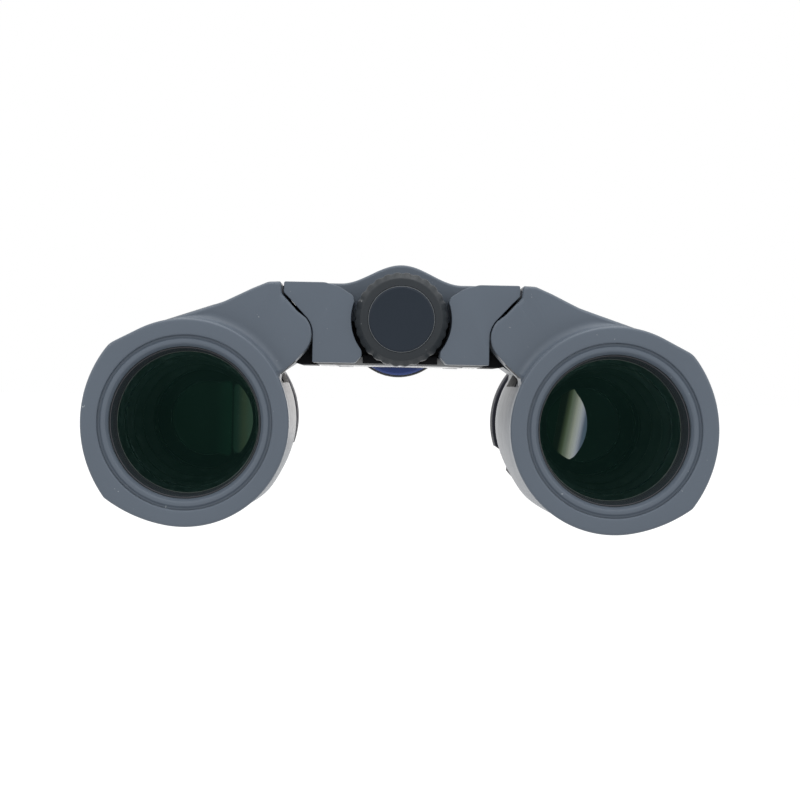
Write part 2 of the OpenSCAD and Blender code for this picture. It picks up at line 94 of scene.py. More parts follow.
def filleted(corners, steps=5, closed=True):
    """A path through corners of (x, y, radius), each corner turned into an arc of that radius."""
    points = [np.array(c[:2], float) for c in corners]
    radii = [c[2] if len(c) > 2 else 0 for c in corners]
    path = []
    last = len(points) - 1
    for i, corner in enumerate(points):
        if radii[i] <= 0 or (not closed and i in (0, last)):
            path.append(tuple(corner))
            continue
        before, after = points[i - 1] - corner, points[(i + 1) % len(points)] - corner
        reach_before, reach_after = np.linalg.norm(before), np.linalg.norm(after)
        before, after = before / reach_before, after / reach_after
        half = math.acos(max(-1, min(1, float(before @ after)))) / 2
        if half > math.pi / 2 - 0.01:
            path.append(tuple(corner))
            continue
        along = min(radii[i] / math.tan(half), 0.48 * reach_before, 0.48 * reach_after)
        radius = along * math.tan(half)
        middle = before + after
        centre = corner + middle / np.linalg.norm(middle) * radius / math.sin(half)
        first, second = corner + before * along - centre, corner + after * along - centre
        a, b = math.atan2(first[1], first[0]), math.atan2(second[1], second[0])
        sweep = (b - a + math.pi) % TURN - math.pi
        for k in range(steps + 1):
            turn = a + sweep * k / steps
            path.append((centre[0] + radius * math.cos(turn), centre[1] + radius * math.sin(turn)))
    return path


# ---------------------------------------------------------------- mesh building

SAME_PLACE = 2e-7
NO_LENGTH = 1e-8
PLATE_SHARP = 32


def in_frame(name, verts, faces, side):
    """A mesh in metres of the row frame from (across, depth, rise) points, mirrored where side is -1."""
    points = np.array(verts, float)
    points[:, 0] *= side
    points = (points + np.array([0, FRONT_Y, AXIS_Z])) * MM
    mesh = bpy.data.meshes.new(name)
    mesh.from_pydata([tuple(p) for p in points], [], [tuple(int(i) for i in f) for f in faces])
    return mesh


def build(name, verts, faces, body, slot, paint, replaces=(), side=1, sharp=38):
    """A mesh piece from (across, depth, rise) points, riding on a body."""
    mesh = in_frame(name, verts, faces, side)
    shape = bmesh.new()
    shape.from_mesh(mesh)
    bmesh.ops.remove_doubles(shape, verts=shape.verts, dist=SAME_PLACE)
    bmesh.ops.dissolve_degenerate(shape, edges=shape.edges, dist=NO_LENGTH)
    bmesh.ops.recalc_face_normals(shape, faces=shape.faces)
    shape.to_mesh(mesh)
    shape.free()
    return finish_piece(name, mesh, body, paint, replaces, sharp)


def finish_piece(name, mesh, body, paint, replaces, sharp):
    """Links a mesh as a smooth-shaded piece with its material, body and replaced nodes."""
    mesh.shade_smooth()
    mesh.set_sharp_from_angle(angle=math.radians(sharp))
    piece = bpy.data.objects.new(name, mesh)
    bpy.context.scene.collection.objects.link(piece)
    piece.data.materials.append(paint)
    if replaces:
        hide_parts(*replaces)
    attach(piece, body)
    return piece


def loft_faces(rows, count, closed=True):
    """Quads between rings of count points each. A closed loft joins the last ring to the first."""
    faces = []
    for row in range(rows if closed else rows - 1):
        here, there = row * count, (row + 1) % rows * count
        for k in range(count):
            n = (k + 1) % count
            faces.append((here + k, here + n, there + n, there + k))
    return faces


def slab(outline, front, back):
    """Verts and faces of an outline of (across, rise) points given thickness."""
    count = len(outline)
    verts = [(x, d, z) for d in (front, back) for x, z in outline]
    faces = [tuple(range(count)), tuple(range(2 * count - 1, count - 1, -1))]
    faces += [(i, (i + 1) % count, count + (i + 1) % count, count + i) for i in range(count)]
    return verts, faces


def turned(profile, centre, segments=160, shape=None, closed=True):
    """Verts and faces of a profile of (radius, depth) points turned about an axis along the depth."""
    profile = np.array(profile, float)
    angles = np.linspace(0, TURN, segments, endpoint=False)
    radius = np.repeat(profile[:, :1], segments, axis=1)
    depth = np.repeat(profile[:, 1:], segments, axis=1)
    if shape:
        radius = shape(radius, depth, angles[None, :])
    across, rise = centre[0] + radius * np.cos(angles), centre[1] + radius * np.sin(angles)
    verts = np.stack([across, depth, rise], axis=-1)
    return verts.reshape(-1, 3), loft_faces(len(profile), segments, closed)


def plate(name, outline, front, back, edge, body, paint, replaces=(), side=1):
    """A slab from an outline, with its rims rounded by edge."""
    mesh = in_frame(name, *slab(outline, front, back), side)
    shape = bmesh.new()
    shape.from_mesh(mesh)
    bmesh.ops.recalc_face_normals(shape, faces=shape.faces)
    rims = [e for f in list(shape.faces)[:2] for e in f.edges]
    bmesh.ops.bevel(
        shape, geom=rims, offset=edge * MM, segments=4, profile=0.5, affect="EDGES", clamp_overlap=True
    )
    bmesh.ops.triangulate(shape, faces=[f for f in shape.faces if len(f.verts) > 4])
    shape.to_mesh(mesh)
    shape.free()
    return finish_piece(name, mesh, body, paint, replaces, PLATE_SHARP)


# ---------------------------------------------------------------- materials


class Nodes:
    """A short hand for building a node material."""

    def __init__(self, name):
        self.material = bpy.data.materials.new(name)
        self.material.use_nodes = True
        self.tree = self.material.node_tree
        self.shader = self.tree.nodes["Principled BSDF"]
        self.where = self.tree.nodes.new("ShaderNodeTexCoord").outputs["Object"]

    def node(self, kind, **settings):
        made = self.tree.nodes.new(kind)
        for key, value in settings.items():
            setattr(made, key, value)
        return made

    def link(self, source, target):
        self.tree.links.new(source, target)

    def noise(self, scale, detail=4, roughness=0.5):
        made = self.node("ShaderNodeTexNoise")
        made.inputs["Scale"].default_value = scale
        made.inputs["Detail"].default_value = detail
        made.inputs["Roughness"].default_value = roughness
        self.link(self.where, made.inputs["Vector"])
        return made.outputs["Fac"]

    def ramp(self, source, stops):
        made = self.node("ShaderNodeValToRGB")
        while len(made.color_ramp.elements) < len(stops):
            made.color_ramp.elements.new(0.5)
        for element, (at, colour) in zip(made.color_ramp.elements, stops):
            element.position = at
            element.color = (*colour, 1)
        self.link(source, made.inputs["Fac"])
        return made.outputs["Color"]

    def mix(self, factor, first, second):
        made = self.node("ShaderNodeMix", data_type="RGBA")
        self.link(factor, made.inputs["Factor"])
        for source, socket in ((first, made.inputs["A"]), (second, made.inputs["B"])):
            if isinstance(source, tuple):
                socket.default_value = (*source, 1)
            else:
                self.link(source, socket)
        return made.outputs["Result"]

    def bump(self, source, strength, distance, under=None):
        made = self.node("ShaderNodeBump")
        made.inputs["Strength"].default_value = strength
        made.inputs["Distance"].default_value = distance
        self.link(source, made.inputs["Height"])
        if under is not None:
            self.link(under, made.inputs["Normal"])
        return made.outputs["Normal"]

    def varied(self, source, middle, less, more):
        """Roughness that follows a pattern between two values round a middle one."""
        stops = [(0.3, (middle - less,) * 3), (0.7, (middle + more,) * 3)]
        self.link(self.ramp(source, stops), self.shader.inputs["Roughness"])

    def set(self, **values):
        for key, value in values.items():
            self.shader.inputs[key.replace("_", " ")].default_value = value


METAL_GRAIN = (40, 40, 2500)
DUST_COLOUR = (0.55, 0.57, 0.58)


def shade(colour, factor):
    """A colour made lighter or darker."""
    return tuple(min(1.0, c * factor) for c in colour)


def moulded(name, colour, rough, grain, strength, blotch=0.06, dust=0.0, sheen=0.0, coat=0.0, shine=0.45):
    """Rubber or moulded plastic: fine grain, slow colour drift, uneven gloss and a little dust."""
    n = Nodes(name)
    drift = n.ramp(n.noise(60, 3), [(0.3, shade(colour, 1 - blotch)), (0.7, shade(colour, 1 + blotch))])
    if dust:
        specks = n.ramp(n.noise(900, 2, 0.7), [(0.735, (0, 0, 0)), (0.765, (dust, dust, dust))])
        drift = n.mix(specks, drift, DUST_COLOUR)
    n.link(drift, n.shader.inputs["Base Color"])
    n.varied(n.noise(240, 4), rough, 0.05, 0.05)
    n.link(n.bump(n.noise(grain, 3, 0.6), strength, 0.00006), n.shader.inputs["Normal"])
    n.set(Specular_IOR_Level=shine, Sheen_Weight=sheen, Sheen_Roughness=0.3)
    n.set(Coat_Weight=coat, Coat_Roughness=0.25, Coat_IOR=1.25)
    return n.material


def pebbled(name, colour, rough, cell):
    """Grip rubber with a small pebble pattern, painted lighter on the pebble tops and darker in the hollows
    between them as painted shade.
    """
    n = Nodes(name)
    cells = n.node("ShaderNodeTexVoronoi", feature="SMOOTH_F1")
    cells.inputs["Scale"].default_value = 1 / (cell * MM)
    n.link(n.where, cells.inputs["Vector"])
    pebble = cells.outputs["Distance"]
    # Pebble tops painted lighter and hollows painted darker: painted shade.
    pebble_painted_shade = n.ramp(pebble, [(0.2, shade(colour, 1.35)), (0.75, shade(colour, 0.6))])
    n.link(pebble_painted_shade, n.shader.inputs["Base Color"])
    upside = n.node("ShaderNodeMath", operation="SUBTRACT")
    upside.inputs[0].default_value = 1
    n.link(pebble, upside.inputs[1])
    fine = n.bump(n.noise(5000, 2), 0.15, 0.00004)
    n.link(n.bump(upside.outputs[0], 0.7, 0.0002, fine), n.shader.inputs["Normal"])
    n.varied(n.noise(300, 3), rough, 0.06, 0.06)
    return n.material


def metal(name, colour, rough):
    """Turned or brushed metal with fine lines."""
    n = Nodes(name)
    stretch = n.node("ShaderNodeMapping")
    stretch.inputs["Scale"].default_value = METAL_GRAIN
    n.link(n.where, stretch.inputs["Vector"])
    lines = n.node("ShaderNodeTexNoise")
    lines.inputs["Scale"].default_value = 1
    n.link(stretch.outputs["Vector"], lines.inputs["Vector"])
    streak = lines.outputs["Fac"]
    n.link(n.ramp(streak, [(0.3, shade(colour, 0.85)), (0.7, colour)]), n.shader.inputs["Base Color"])
    n.varied(streak, rough, 0.06, 0.08)
    n.link(n.bump(streak, 0.15, 0.00003), n.shader.inputs["Normal"])
    n.set(Metallic=1.0)
    return n.material


def coated_glass(name, tint, reflection_tint=(0.0, 0.0, 0.0), clear=1.0):
    """A lens without reflections. The reflection of its coating is painted on as a steady pale glow. With
    clear at 0, a dark prism.
    """
    n = Nodes(name)
    drift = n.noise(45, 2)
    n.link(n.ramp(drift, [(0.3, shade(tint, 0.97)), (0.7, tint)]), n.shader.inputs["Base Color"])
    faint = n.ramp(drift, [(0.2, shade(reflection_tint, 0.75)), (0.8, shade(reflection_tint, 1.2))])
    n.link(faint, n.shader.inputs["Emission Color"])
    n.set(Roughness=0.0 if clear else 0.3, IOR=1.0 if clear else 1.2)
    n.set(Transmission_Weight=clear, Emission_Strength=1.0)
    return n.material


def glowing(name, stops, strength, low, high, lean=0.0):
    """A prism face patch that glows with painted light, its colours set across the barrel."""
    n = Nodes(name)
    across = n.node("ShaderNodeVectorMath", operation="DOT_PRODUCT")
    across.inputs[1].default_value = (1, 0, -lean)
    n.link(n.where, across.inputs[0])
    reach = n.node("ShaderNodeMapRange")
    reach.inputs["From Min"].default_value = (low - lean * AXIS_Z) * MM
    reach.inputs["From Max"].default_value = (high - lean * AXIS_Z) * MM
    n.link(across.outputs["Value"], reach.inputs["Value"])
    colour = n.ramp(reach.outputs["Result"], stops)
    darkest = stops[0][1]
    n.link(n.mix(n.noise(220, 2), shade(darkest, 0.5), darkest), n.shader.inputs["Base Color"])
    n.link(colour, n.shader.inputs["Emission Color"])
    n.set(Emission_Strength=strength, Roughness=0.4, Specular_IOR_Level=0.04)
    return n.material


ARMOUR_COLOUR = (0.069, 0.088, 0.114)
HOUSING_COLOUR = (0.07, 0.089, 0.115)
ARMOUR = moulded("armour_rubber", ARMOUR_COLOUR, 0.55, 3600, 0.2, 0.035, 0.4, sheen=0.05, coat=0.5, shine=0.4)
HOUSING = moulded("housing_paint", HOUSING_COLOUR, 0.52, 4200, 0.16, 0.03, 0.3, coat=0.4, shine=0.4)
UNDERSIDE = moulded("underside_paint", (0.2, 0.205, 0.21), 0.3, 3000, 0.05, 0.03, coat=0.6)
BLACK = moulded("black_frame", (0.005, 0.0055, 0.007), 0.55, 2600, 0.15, 0.15, shine=0.12)
INNER_BLACK = moulded("baffle_black", (0.011, 0.0145, 0.0165), 0.5, 900, 0.01, 0.1, shine=0.12)
# The threads' black is lighter than the frame black, partly painted light for the light falling on them
# inside the barrel.
LIT_THREAD_PAINT = moulded("lit_thread_paint", (0.014, 0.021, 0.025), 0.45, 900, 0.01, 0.1, shine=0.15)
WHEEL_COLOUR = (0.022, 0.026, 0.03)
WHEEL_RUBBER = moulded("wheel_rubber", WHEEL_COLOUR, 0.5, 3200, 0.22, 0.06, 0.3, coat=0.3, shine=0.15)
WHEEL_CAP = moulded("wheel_cap", (0.014, 0.02, 0.029), 0.5, 5200, 0.1, 0.04, shine=0.15)
EYECUP = moulded("eyecup_rubber", (0.012, 0.013, 0.022), 0.6, 3400, 0.2, 0.08, shine=0.25)
BLUE = moulded("diopter_blue", (0.03, 0.062, 0.24), 0.4, 2200, 0.06, 0.04, coat=0.2, shine=0.25)
GRIP = pebbled("grip_rubber", (0.02, 0.022, 0.025), 0.6, 0.55)
STEEL = metal("steel", (0.52, 0.52, 0.53), 0.34)
BRASS = metal("brass", (0.62, 0.45, 0.2), 0.36)
# A pale bead round the focus cap's edge: a painted highlight.
CAP_GLINT = moulded("cap_painted_glint", (0.16, 0.17, 0.18), 0.35, 2200, 0.03, 0.05)
# Pale greys for beads on the thread steps: painted highlights.
GREY_GLINT = moulded("grey_painted_glint", (0.05, 0.048, 0.056), 0.4, 2200, 0.03, 0.05)
GREEN_GLINT = moulded("green_painted_glint", (0.075, 0.095, 0.085), 0.3, 2200, 0.03, 0.05, coat=0.5)
# The objective and eyepiece glass carry a steady glow: a painted reflection of their coatings.
LENS = coated_glass("objective_reflection_painted", (0.9, 0.97, 0.94), (0.0015, 0.0042, 0.0034))
INNER_LENS = coated_glass("inner_coating", (0.8, 0.92, 0.87))
EYE_LENS = coated_glass("eyepiece_reflection_painted", (0.5, 0.62, 0.75), (0.0035, 0.0055, 0.009))
PRISM = coated_glass("prism_glass", (0.014, 0.022, 0.024), clear=0.0)

# ---------------------------------------------------------------- barrel armour
# The arm stands on the flange and reaches the hinge with a lobe in front of LOBE_END and another behind
# REAR_LOBE. Between the lobes it is cut back, to clear the bridge, and it fades into the barrel at ARM_BACK.

FLANGE_R = 18.2
FLANGE_INNER_R = 15.25
FLANGE_BACK = 5.0
BODY_R = 18.15
ARM_FRONT = 4.0
ARM_BACK = 65.0
LOBE_END = 13.8
REAR_LOBE = 46.0
FAR = 200
HINGE_CLEAR_R = 5.1
NOSE_R = 4.35
NOSE_FROM, NOSE_TO = 128, 165
UNDER_ANGLE = 141.2
ARMOUR_BACK = depths("right_armour")[1]
REAR_ROUND = 1.0
ARM_SLOPE = 18.9
ARM_SLOPE_LENGTH = 12.9


def polar(outline, angles):
    """Radius of a closed outline about the barrel axis at each angle. The outline is star-shaped."""
    points = np.array(outline, float)
    dense = []
    for a, b in zip(points, np.roll(points, -1, axis=0)):
        steps = max(1, int(np.linalg.norm(b - a) / 0.15))
        dense += [a + (b - a) * k / steps for k in range(steps)]
    dense = np.array(dense)
    at = np.arctan2(dense[:, 1], dense[:, 0]) % TURN
    order = np.argsort(at)
    return np.interp(angles % TURN, at[order], np.hypot(dense[order, 0], dense[order, 1]), period=TURN)


def flange_outline():
    """The flange about the barrel axis: a circle with two corners on its outer side, fuller below."""
    edge_r, edge_shift, corner_rise = 21.4, 3.2, 13.6
    low_r, under_r, under_turn = 22.4, 25.2, -80
    corner_x = math.sqrt(edge_r**2 - corner_rise**2) - edge_shift
    lean = math.degrees(math.atan2(corner_rise, corner_x))
    reach = math.degrees(math.acos(FLANGE_R / math.hypot(corner_x, corner_rise)))
    swing = math.degrees(math.asin(corner_rise / edge_r))
    low_centre = (FLANGE_R - low_r, 0)
    under_way = np.array([math.cos(math.radians(under_turn)), math.sin(math.radians(under_turn))])
    under_centre = under_way * (FLANGE_R - under_r)
    turns = np.radians(np.linspace(under_turn, 0, 400))
    under = under_centre + under_r * np.stack([np.cos(turns), np.sin(turns)], axis=-1)
    inside = np.hypot(under[:, 0] - low_centre[0], under[:, 1]) < low_r
    corner = under[inside][-1]
    under_path = [(*p, 0) for p in under[inside][:-12:12]]
    low_swing = -math.degrees(math.asin(-corner[1] / low_r))
    return filleted(
        under_path + [(corner[0], corner[1], 0.8)]
        + [(*p, 0) for p in arc(low_centre, low_r, low_swing + 1.2, 0, 14)]
        + [(*p, 0) for p in arc((-edge_shift, 0), edge_r, 1.5, swing - 4.5, 14)]
        + [(corner_x, corner_rise, 3.6)]
        + [(*p, 0) for p in arc((0, 0), FLANGE_R, lean + reach, 360 + under_turn - 2, 90)], steps=8
    )


def arm_outline(front_lobe):
    """The arm about the barrel axis. Behind its front lobe it is slimmer and its nose is smaller."""
    slope = math.radians(ARM_SLOPE)
    foot = np.array([math.sin(slope), math.cos(slope)]) * FLANGE_R
    shoulder = foot + ARM_SLOPE_LENGTH * np.array([-math.cos(slope), math.sin(slope)])
    hinge = np.array(HINGE) - np.array(BARREL)
    if front_lobe:
        ridge = [(6.2, 7.9, 7.0), (3.4, 9.1, 2.0), (1.2, 9.2, 0.35), (1.0, 7.05, 1.0), (-1.75, 4.05, 1.2)]
        nose = arc(hinge, NOSE_R, 139, 221, 18)
        tail = [(-2.35, -3.95, 0.5), (-1.65, -4.68, 1.5), (1.0, -7.1, 0.3), (1.2, -8.6, 0)]
    else:
        ridge = [(6.2, 7.9, 7.0), (3.4, 9.0, 2.0), (1.9, 8.95, 0.4), (1.7, 7.0, 1.0), (-0.8, 4.3, 1.0)]
        nose = arc(hinge, NOSE_R - 0.4, 122, 236.9, 18)
        tail = [(2.24, -6.02, 0)]
    path = (
        [(*foot, 0), (*shoulder, 9.0)] + [(hinge[0] + x, hinge[1] + z, r) for x, z, r in ridge]
        + [(*p, 0) for p in nose] + [(hinge[0] + x, hinge[1] + z, r) for x, z, r in tail]
    )
    back = [(*p, 0) for p in arc((0, 0), FLANGE_R - 1.2, 156.5, 428, 60)]
    return filleted(path + back, steps=8)


def body_radius(depth):
    """The barrel's slow swell behind the flange and its taper towards the eyepiece."""
    front_waist = 1.0 * max(0.0, (28 - depth) / 23) ** 2
    rear_taper = 1.78 * max(0.0, (depth - 40) / 50) ** 1.5
    return BODY_R - front_waist - rear_taper


def inset(depth, start, stop, radius):
    """How far a wall rounded by radius at both its ends lies inside its full outline."""
    near = min(depth - start, stop - depth)
    if near >= radius:
        return 0.0
    return radius - math.sqrt(max(0.0, radius**2 - (radius - max(0.0, near)) ** 2))


def ramp01(value, low, high):
    """0 below low, 1 above high, and a smooth rise between them."""
    t = min(1.0, max(0.0, (value - low) / (high - low)))
    return t * t * (3 - 2 * t)


def round_stops(start, stop, radius, steps=5):
    """Depths that follow a rounded edge closely at both ends of a stretch."""
    turn = [radius * (1 - math.cos(k / steps * math.pi / 2)) for k in range(steps + 1)]
    return [start + t for t in turn] + [stop - t for t in reversed(turn)]


def armour_stations():
    """Depths of the armour's rings, closer together where its outline steps or curves.

    Each has a flag that picks the ring behind the step, where the depth is that of a step.
    """
    flange = round_stops(0, ARM_FRONT, 0.55)[:6]
    foot = [1.2, 1.9, 2.3, 2.6, 2.9, 3.2, 3.5, 3.7, 3.85, 3.95, ARM_FRONT]
    arm_end = [ARM_BACK - t for t in (1.2, 0.9, 0.6, 0.35, 0.18, 0.06, 0.0)]
    behind = round_stops(ARM_FRONT, LOBE_END, 0.75)
    behind += [FLANGE_BACK, FLANGE_BACK + 0.001, 5.3, 5.7, 6.2, 6.8, 7.5, 8.5, 10, 12]
    behind += [LOBE_END - t for t in (0.2, 0.08, 0.02)]
    behind += list(np.linspace(LOBE_END + 0.001, REAR_LOBE - 0.001, 16))
    behind += [REAR_LOBE + t for t in (0, 0.02, 0.08, 0.2, 0.45)]
    behind += list(np.linspace(REAR_LOBE + 1.5, ARM_BACK - 1.3, 20))
    behind += [ARM_BACK, *np.linspace(ARM_BACK + 0.6, ARMOUR_BACK - REAR_ROUND, 16)]
    stations = [(depth, False) for depth in flange + foot + arm_end]
    stations += [(depth, True) for depth in behind]
    return sorted(set(stations))


def armour_mesh():
    """Verts and faces of one barrel's armour, lofted ring by ring, and the arm's radius at each angle.

    The angles stand closer together where the arm and its nose are.
    """
    angles = np.radians(np.concatenate([
        np.arange(0, 66, 1.0), np.arange(66, 116, 0.5), np.arange(116, 160, 0.22),
        np.arange(160, 300, 1.0), np.arange(300, 360, 0.8)
    ]))
    count = len(angles)
    flange = polar(flange_outline(), angles)
    arm = polar(arm_outline(True), angles)
    rear_arm = polar(arm_outline(False), angles)
    arm_only = arm > FLANGE_R - 0.3
    hinge_reach = math.hypot(HINGE_X - BARREL_X, HINGE_RISE)
    hinge_angle = math.atan2(HINGE_RISE, HINGE_X - BARREL_X)
    aside = np.abs(hinge_reach * np.sin(angles - hinge_angle))
    near = hinge_reach * np.cos(angles - hinge_angle) - np.sqrt(np.maximum(0, HINGE_CLEAR_R**2 - aside**2))
    facing = (aside < HINGE_CLEAR_R) & (np.cos(angles - hinge_angle) > 0)
    degrees = np.degrees(angles)
    mid_arm = np.where(facing, np.minimum(rear_arm, near), rear_arm)
    mid_arm = np.where((degrees > UNDER_ANGLE) & (degrees < 180), 0, mid_arm)
    rear_fade = np.interp(degrees, [66, 84, 108, 122, 160], [14, 13, 9, 2.5, 1.2])
    foot_r = 1.7
    swell_angle, swell_depth = 226, 35
    low_swell = 0.5 * np.exp(-((degrees - swell_angle) / 12) ** 2)

    def ring(depth, face):
        """Radius at every angle at one depth. Where the wall steps, face picks the ring behind the step."""
        swell_here = low_swell * math.exp(-((depth - swell_depth) / 22) ** 2)
        body = body_radius(max(depth, FLANGE_BACK)) + swell_here
        if depth <= FLANGE_BACK:
            base = flange - inset(depth, 0, FAR, 0.55) - inset(depth, -FAR, FLANGE_BACK, 0.5)
        else:
            settle = math.exp(-((depth - FLANGE_BACK) / 1.1) ** 2)
            base = body + 0.35 * settle
        if depth < ARM_FRONT or (depth == ARM_FRONT and not face):
            rise = max(0.0, depth - (ARM_FRONT - foot_r))
            swell = foot_r - math.sqrt(max(0.0, foot_r**2 - rise**2))
            lift = np.clip((arm - base) / 3.0, 0, 1)
            return np.where(arm_only, base + swell * lift, base)
        if depth > ARM_BACK or (depth == ARM_BACK and face):
            return base
        crisp, soft = (inset(depth, ARM_FRONT, FAR, radius) for radius in (0.25, 0.75))
        rounding = np.where((degrees > NOSE_FROM) & (degrees < NOSE_TO), crisp, soft)
        fade = np.array([1 - ramp01(depth, ARM_BACK - w, ARM_BACK) if w > 4 else 1.0 for w in rear_fade])
        end_round = inset(depth, -FAR, ARM_BACK, 1.2)
        if depth <= LOBE_END:
            shown = arm - inset(depth, ARM_FRONT, LOBE_END, 0.4) * (arm - mid_arm > 0.3)
        elif depth >= REAR_LOBE:
            shown = rear_arm - inset(depth, REAR_LOBE, FAR, 0.45) * (rear_arm - mid_arm > 0.3)
        else:
            shown = mid_arm
        shown = base + (shown - rounding - end_round - base) * fade
        return np.where(arm_only, np.maximum(base, shown), base)

    rings = [(depth, ring(depth, face)) for depth, face in armour_stations()]
    rear = rings[-1][1]
    for k in range(1, 6):
        turn = k / 5 * math.pi / 2
        step_back, step_in = REAR_ROUND * math.sin(turn), REAR_ROUND * (1 - math.cos(turn))
        rings.append((ARMOUR_BACK - REAR_ROUND + step_back, rear - step_in))
    bore = np.full(count, FLANGE_INNER_R)
    rings = (
        [(3.0, bore), (0.35, bore), (0.14, bore + 0.08), (0.03, bore + 0.22), (0.0, bore + 0.36)]
        + [(0.0, bore + (rings[0][1] - bore) * t) for t in (0.35, 0.7)] + rings
        + [(ARMOUR_BACK, bore), (ARMOUR_BACK - 3, bore)]
    )
    across, rise = np.cos(angles), np.sin(angles)
    verts = np.concatenate([
        np.stack([BARREL_X + r * across, np.full(count, d), r * rise], axis=-1) for d, r in rings
    ])
    return (verts, loft_faces(len(rings), count)), angles, arm


armour, ARM_ANGLES, ARM_RADII = armour_mesh()


def row_faces(first, second, count):
    """Quads between two open rows of count points each, given where the rows start."""
    return [(first + k, first + k + 1, second + k + 1, second + k) for k in range(count - 1)]


def grip_mesh():
    """The textured strip let into the slanted top of an arm, with cross ribs."""
    front, back = depths("right_grip_panel")
    count, steps = 40, 180
    rib_pitch, thick = 1.6, 0.9
    angles = np.radians(np.linspace(72.5, 105, count))
    out, up = np.cos(angles), np.sin(angles)
    surface = np.interp(angles, ARM_ANGLES, ARM_RADII)
    across = np.minimum(1, np.minimum(np.arange(count), np.arange(count)[::-1]) / 3.5)
    rows = []
    for i, depth in enumerate(np.linspace(front, back, steps)):
        along = min(1, min(i, steps - 1 - i) / 5)
        edge = np.sqrt(np.clip(1 - (1 - across) ** 2, 0, 1)) * math.sqrt(max(0.0, 1 - (1 - along) ** 2))
        rib = 0.5 + 0.5 * math.cos((depth - front) * TURN / rib_pitch)
        height = -0.5 + 0.66 * edge + 0.16 * edge * rib * np.clip((across - 0.6) / 0.4, 0, 1)
        reach = surface + height
        rows.append(np.stack([BARREL_X + reach * out, np.full(count, depth), reach * up], axis=-1))
    inward = thick * np.stack([out, np.zeros(count), up], axis=-1)
    grid = np.array([rows[0] - inward] + rows + [rows[-1] - inward])
    last = len(grid)
    faces = []
    for row in range(last):
        faces += row_faces(row * count, (row + 1) % last * count, count)
    faces.append([row * count for row in range(last)])
    faces.append([row * count + count - 1 for row in range(last - 1, -1, -1)])
    return grid.reshape(-1, 3), faces


def shadow_pad_mesh():
    """A thin black pad on the barrel's inboard side, just under the arm: a painted shadow where the arm's
    underside meets the barrel.
    """
    turns = np.radians(np.linspace(145, 156, 14))
    steps = np.linspace(19, 44, 20)
    rows = []
    for height in (0.14, -0.4):
        for depth in steps:
            radius = body_radius(depth) + height
            rows.append([(BARREL_X + radius * math.cos(t), depth, radius * math.sin(t)) for t in turns])
    count, half = len(turns), len(steps)
    faces = []
    for row in range(2 * half - 1):
        if row != half - 1:
            faces += row_faces(row * count, (row + 1) * count, count)
    top, low = range(half), range(half, 2 * half)
    for a, b in ((0, half), (half - 1, 2 * half - 1)):
        faces += row_faces(a * count, b * count, count)
    for k in (0, count - 1):
        for a, b in zip(top[:-1], low[:-1]):
            faces.append((a * count + k, (a + 1) * count + k, (b + 1) * count + k, b * count + k))
    return [p for row in rows for p in row], faces


def under_strip_outline():
    """A black line flush with the underside of the arm's front lobe."""
    start, stop = np.array(HINGE) + (-1.6, -4.72), np.array(HINGE) + (0.95, -7.05)
    along = (stop - start) / np.linalg.norm(stop - start)
    out = np.array([along[1], -along[0]])
    return [tuple(p) for p in (start + out * 0.04, stop + out * 0.04, stop - out * 0.5, start - out * 0.5)]


grip = grip_mesh()
shadow_pad = shadow_pad_mesh()

# ---------------------------------------------------------------- objective end

SEAT_R = 15.22
THREADS, THREAD_PITCH = 5, 1.05
TUBE_R = 13.5


def objective_pieces(side, name):
    """The bevelled ring, black threads, rims and baffles at the front of one barrel. The rims are pale beads
    that paint highlights on the thread steps.
    """
    body = name + "_barrel"
    ring_back = depths("right_objective_ring")[1]
    outer = filleted([
        (SEAT_R, FLANGE_BACK, 0), (SEAT_R, 0.6, 0), (14.85, 0.55, 0.2), (14.55, 0.22, 0.25),
        (13.9, 0.1, 0.6), (13.35, 0.9, 0.4), (13.3, 1.6, 0), (13.3, FLANGE_BACK, 0)
    ], 5)
    bevel = turned(outer, BARREL)
    build(name + "_bevel_ring", *bevel, body, "armour", ARMOUR, [name + "_objective_ring"], side)
    steps = [(13.55, 1.5, 0), (13.2, 1.7, 0.1), (13.15, 3.0, 0.1)]
    for k in range(THREADS):
        top = 3.2 + k * THREAD_PITCH
        crest, root = 12.95 - 0.05 * k, 13.1 - 0.05 * k
        turn = ((crest, top), (crest, top + 0.55), (root, top + 0.62), (root, top + 0.98))
        steps += [(*p, 0.08) for p in turn]
    steps += [(12.62, 8.5, 0.1), (12.6, ring_back, 0), (14.0, ring_back, 0), (14.0, 1.5, 0)]
    threads = turned(filleted(steps, 3), BARREL)
    build(name + "_inner_threads", *threads, body, "black_frame", LIT_THREAD_PAINT, (), side)
    around = np.linspace(0, TURN, 12, endpoint=False)
    # Pale beads on the thread steps: painted highlights.
    rims = ((13.12, 2.2, 0.1, GREY_GLINT), (12.66, 9.3, 0.15, GREEN_GLINT))
    for k, (radius, depth, thick, paint) in enumerate(rims):
        rim = [(radius + thick * math.cos(a), depth + thick * math.sin(a)) for a in around]
        build(f"{name}_step_glint_{k + 1}", *turned(rim, BARREL), body, "black_frame", paint, (), side)
    for k, (depth, inner) in enumerate(((17.6, 11.8), (27.0, 11.3), (38.0, 10.6), (50.0, 9.6))):
        edge = filleted([
            (TUBE_R, depth - 0.8, 0), (inner, depth - 0.15, 0.1),
            (inner, depth + 0.15, 0.1), (TUBE_R, depth + 0.8, 0)
        ], 3)
        baffle = turned(edge, BARREL, 128)
        build(f"{name}_baffle_{k + 1}", *baffle, body, "black_frame", INNER_BLACK, (), side)


def lens_profile(radius, front, back, front_rise, back_rise, steps=14):
    """Half a lens section, from the axis over its front dome and back over its rear dome."""
    t = [k / steps for k in range(steps + 1)]
    return (
        [(radius * k, front - front_rise * (1 - k * k)) for k in t]
        + [(radius * k, back + back_rise * (1 - k * k)) for k in reversed(t)]
    )


